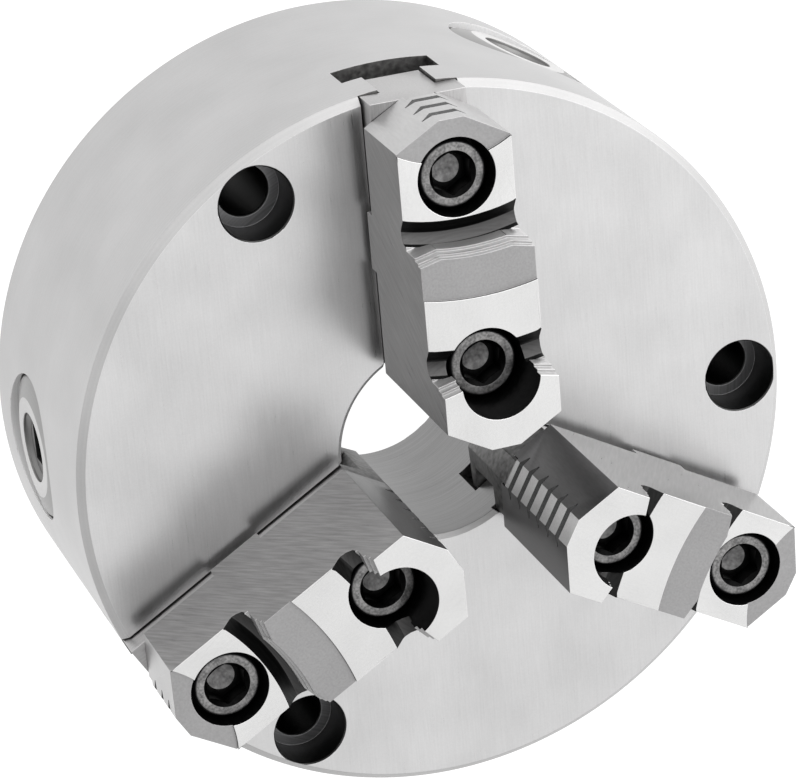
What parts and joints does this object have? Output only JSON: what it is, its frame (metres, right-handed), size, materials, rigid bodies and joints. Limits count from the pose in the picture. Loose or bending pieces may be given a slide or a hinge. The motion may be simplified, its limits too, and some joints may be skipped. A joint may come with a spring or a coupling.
{
  "type": "lathe chuck",
  "caption": "Self-centring scroll lathe chuck with a cylindrical steel body, stepped two-piece reversible jaws and front mounting holes.",
  "frame": {"origin": "centre of the back mounting face, on the spindle axis", "axes": "+Z along the spindle axis towards the front face; jaw 1 points along +Y"},
  "size_m": [0.2, 0.2, 0.1396],
  "materials": {
    "body_steel": "fine ground",
    "jaw_steel": "ground, hardened",
    "master_steel": "ground",
    "gear_steel": "machined, oiled",
    "pinion_steel": "turned",
    "cover_iron": "machined",
    "black_oxide": "black oxide, worn"
  },
  "bodies": {
    "body": {"chuck_body": "body_steel", "back_cover": "cover_iron", "pinion_screw_1": "black_oxide", "cover_screw_1": "black_oxide", "pinion_screw_2": "black_oxide", "cover_screw_2": "black_oxide", "pinion_screw_3": "black_oxide", "cover_screw_3": "black_oxide"},
    "scroll": {"scroll_plate": "gear_steel"},
    "pinion_1": {"pinion_1": "pinion_steel"},
    "jaw_1": {"master_jaw_1": "master_steel", "top_jaw_1": "jaw_steel", "jaw_screw_1_outer": "black_oxide", "jaw_screw_1_inner": "black_oxide"},
    "pinion_2": {"pinion_2": "pinion_steel"},
    "jaw_2": {"master_jaw_2": "master_steel", "top_jaw_2": "jaw_steel", "jaw_screw_2_outer": "black_oxide", "jaw_screw_2_inner": "black_oxide"},
    "pinion_3": {"pinion_3": "pinion_steel"},
    "jaw_3": {"master_jaw_3": "master_steel", "top_jaw_3": "jaw_steel", "jaw_screw_3_outer": "black_oxide", "jaw_screw_3_inner": "black_oxide"}
  },
  "joints": [
    {"name": "scroll_turn", "type": "hinge", "parent": "body", "child": "scroll", "pos_m": [0, 0, 0.0535], "axis": [0, 0, 1], "range_deg": [-900, 675]},
    {"name": "jaw_1_slide", "type": "slide", "parent": "body", "child": "jaw_1", "axis": [0, 1, 0], "range_m": [-0.015, 0.02]},
    {"name": "pinion_1_turn", "type": "hinge", "parent": "body", "child": "pinion_1", "pos_m": [0.044, 0.07621, 0.033], "axis": [0.5, 0.866, 0], "range_deg": [-3037.5, 4050]},
    {"name": "jaw_2_slide", "type": "slide", "parent": "body", "child": "jaw_2", "axis": [-0.866, -0.5, 0], "range_m": [-0.015, 0.02]},
    {"name": "pinion_2_turn", "type": "hinge", "parent": "body", "child": "pinion_2", "pos_m": [-0.088, 0, 0.033], "axis": [-1, 0, 0], "range_deg": [-3037.5, 4050]},
    {"name": "jaw_3_slide", "type": "slide", "parent": "body", "child": "jaw_3", "axis": [0.866, -0.5, 0], "range_m": [-0.015, 0.02]},
    {"name": "pinion_3_turn", "type": "hinge", "parent": "body", "child": "pinion_3", "pos_m": [0.044, -0.07621, 0.033], "axis": [0.5, -0.866, 0], "range_deg": [-3037.5, 4050]}
  ],
  "couplings": [
    {"joint": "jaw_1_slide", "follows": "scroll_turn", "m_per_rad": -0.0012732},
    {"joint": "pinion_1_turn", "follows": "scroll_turn", "ratio": -4.5},
    {"joint": "jaw_2_slide", "follows": "scroll_turn", "m_per_rad": -0.0012732},
    {"joint": "pinion_2_turn", "follows": "scroll_turn", "ratio": -4.5},
    {"joint": "jaw_3_slide", "follows": "scroll_turn", "m_per_rad": -0.0012732},
    {"joint": "pinion_3_turn", "follows": "scroll_turn", "ratio": -4.5}
  ]
}
